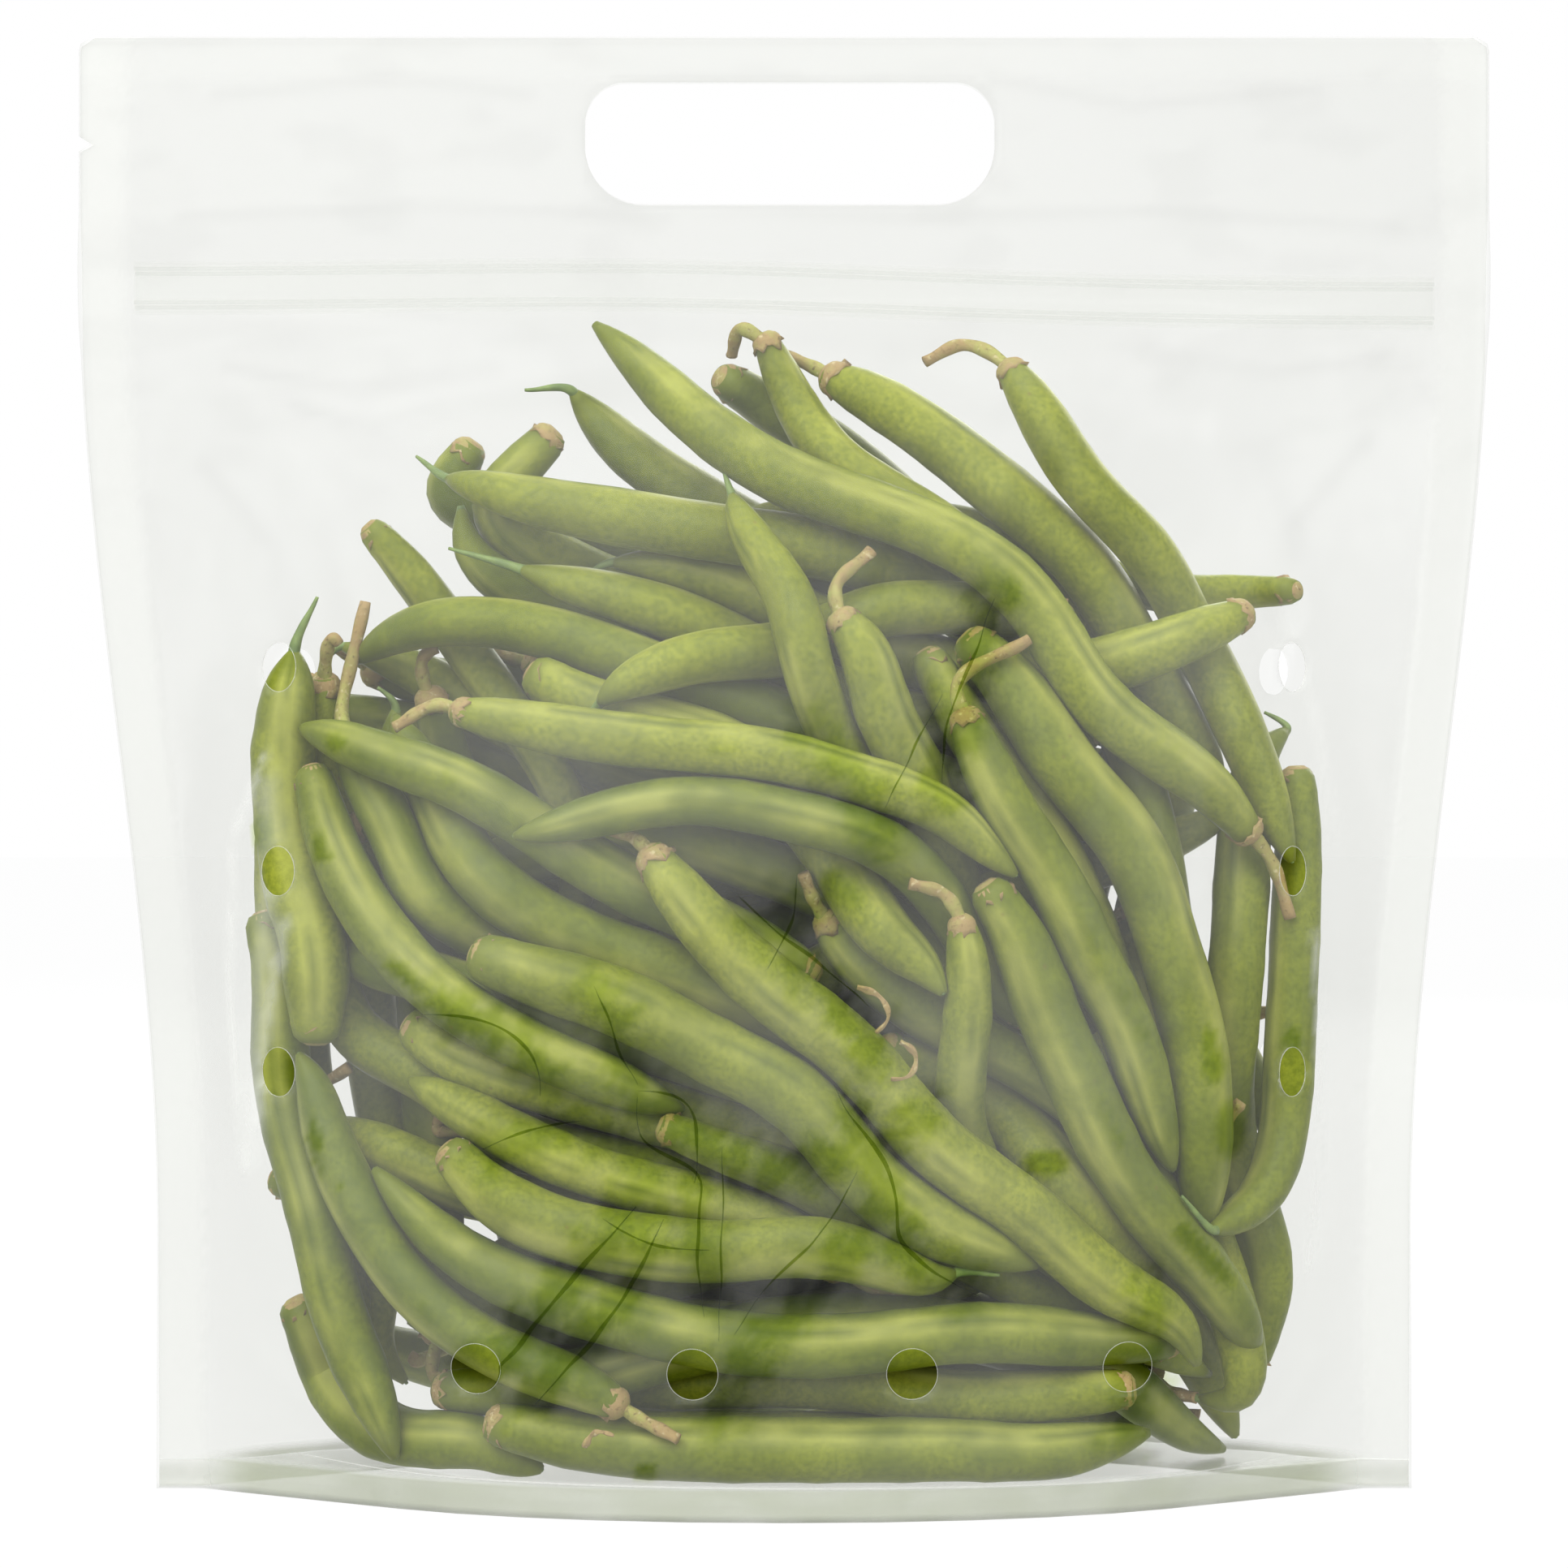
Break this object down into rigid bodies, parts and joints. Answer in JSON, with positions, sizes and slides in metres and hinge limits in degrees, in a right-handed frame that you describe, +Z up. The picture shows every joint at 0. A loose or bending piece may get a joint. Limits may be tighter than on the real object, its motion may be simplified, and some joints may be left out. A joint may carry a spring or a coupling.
{
  "type": "green bean bundle",
  "caption": "Clear stand-up pouch with a handle slot, a press zip and vent holes, filled with loose whole green beans.",
  "frame": {"origin": "middle of the pouch's footprint, on the surface that it stands on", "axes": "+Z up along the pouch, +X to the right along its width, -Y out of the front film"},
  "size_m": [0.243, 0.0766, 0.25],
  "materials": {
    "film": "clear film with a milky haze",
    "zip": "clear moulded strip",
    "bean": "satin bean skin"
  },
  "bodies": {
    "root": {"film_front": "film", "film_back": "film", "film_gusset": "film", "zip_track_front": "zip", "zip_track_back": "zip", "bean_top_1": "bean", "bean_top_2": "bean", "bean_top_3": "bean", "bean_top_4": "bean", "bean_top_5": "bean", "bean_top_6": "bean", "bean_top_7": "bean", "bean_top_8": "bean", "bean_top_9": "bean", "bean_top_10": "bean", "bean_top_11": "bean", "bean_middle_1": "bean", "bean_middle_2": "bean", "bean_middle_3": "bean", "bean_middle_4": "bean", "bean_middle_5": "bean", "bean_middle_6": "bean", "bean_middle_7": "bean", "bean_middle_8": "bean", "bean_middle_9": "bean", "bean_middle_10": "bean", "bean_middle_11": "bean", "bean_middle_12": "bean", "bean_middle_13": "bean", "bean_middle_14": "bean", "bean_left_1": "bean", "bean_left_2": "bean", "bean_left_3": "bean", "bean_left_4": "bean", "bean_left_5": "bean", "bean_left_6": "bean", "bean_left_7": "bean", "bean_left_8": "bean", "bean_low_1": "bean", "bean_low_2": "bean", "bean_low_3": "bean", "bean_low_4": "bean", "bean_low_5": "bean", "bean_low_6": "bean", "bean_low_7": "bean", "bean_low_8": "bean", "bean_low_9": "bean", "bean_low_10": "bean", "bean_low_11": "bean", "bean_low_12": "bean", "bean_low_13": "bean", "bean_low_14": "bean", "bean_low_15": "bean", "bean_low_16": "bean", "bean_low_17": "bean", "bean_low_18": "bean", "beans_back": "bean", "beans_inner_back": "bean", "beans_inner_middle": "bean", "beans_sides": "bean"}
  },
  "joints": []
}
